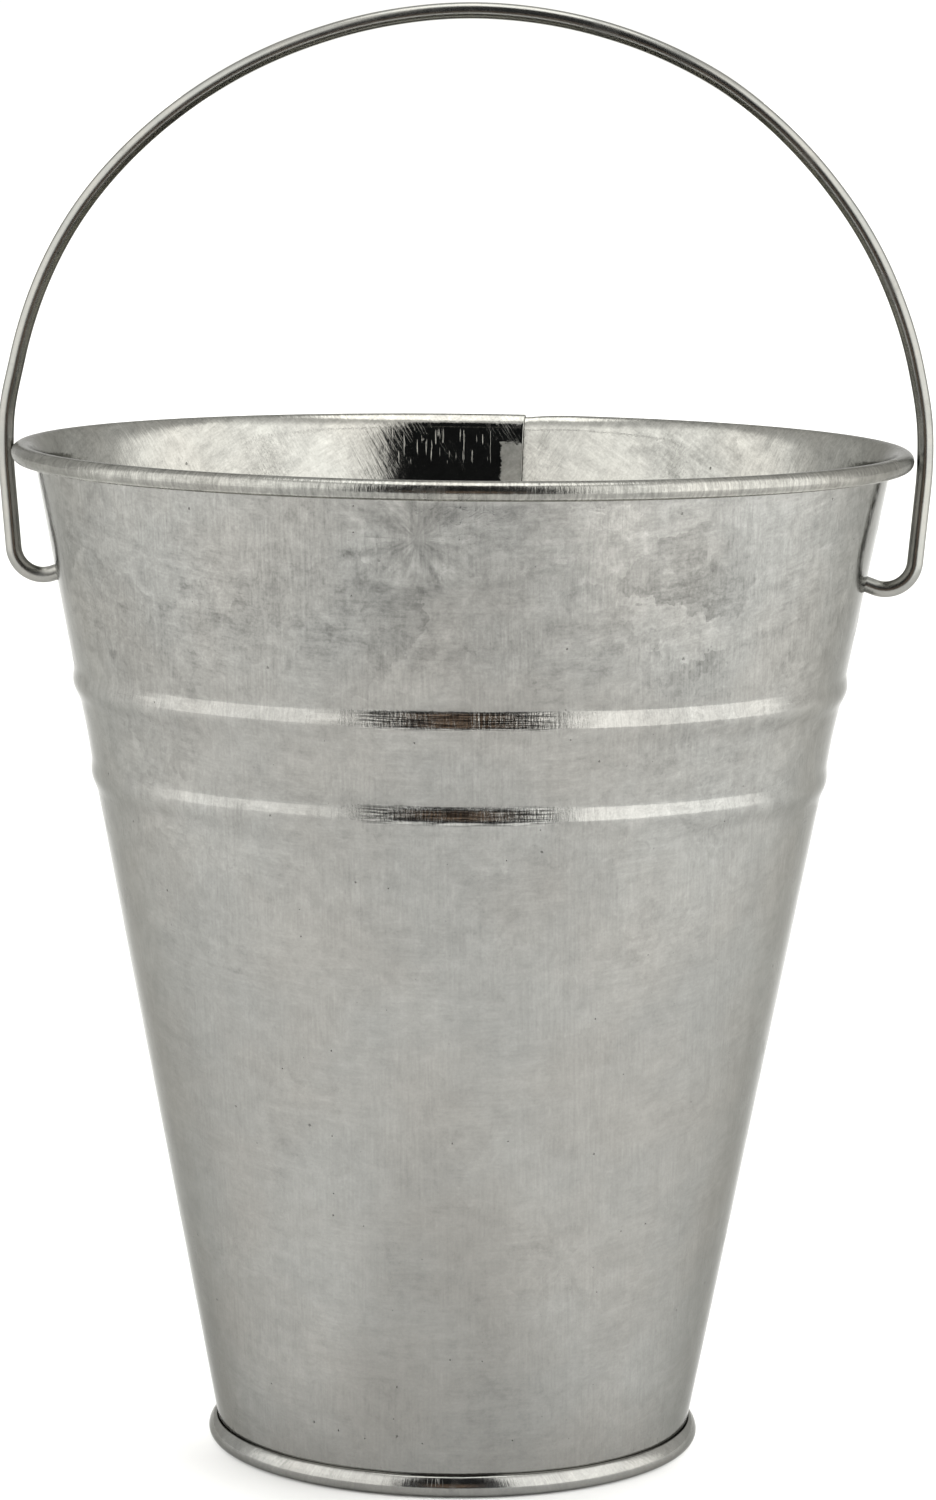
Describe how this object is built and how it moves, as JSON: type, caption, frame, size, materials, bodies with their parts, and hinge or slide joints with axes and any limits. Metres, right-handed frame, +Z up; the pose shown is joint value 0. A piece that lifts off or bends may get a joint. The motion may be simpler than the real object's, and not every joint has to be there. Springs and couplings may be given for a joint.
{
  "type": "florist bucket",
  "caption": "Tapered round galvanised sheet pail with a rolled rim, raised beads, a crimped foot ring and a swinging wire bail, open at the top to hold water and cut flowers.",
  "frame": {"origin": "centre of the pail on the plane it stands on", "axes": "+Z up along the pail's axis, X along the bail's pivot axis, -Y the side opposite the side seam"},
  "size_m": [0.1354, 0.13, 0.2098],
  "materials": {
    "zinc_sheet": "galvanised zinc coat with a soft low spangle, satin",
    "zinc_base": "galvanised zinc coat, satin, pressed",
    "seam_sealant": "matt cured sealing compound",
    "bail_wire": "drawn galvanised wire, semi-bright"
  },
  "bodies": {
    "bucket": {"bucket_body": "zinc_sheet", "base_pan": "zinc_base", "base_seam_seal": "seam_sealant"},
    "bail": {"bail_handle": "bail_wire"}
  },
  "joints": [
    {"name": "bail_hinge", "type": "hinge", "parent": "bucket", "child": "bail", "pos_m": [0, 0, 0.1273], "axis": [1, 0, 0], "range_deg": [-143.5, 143.5]}
  ]
}
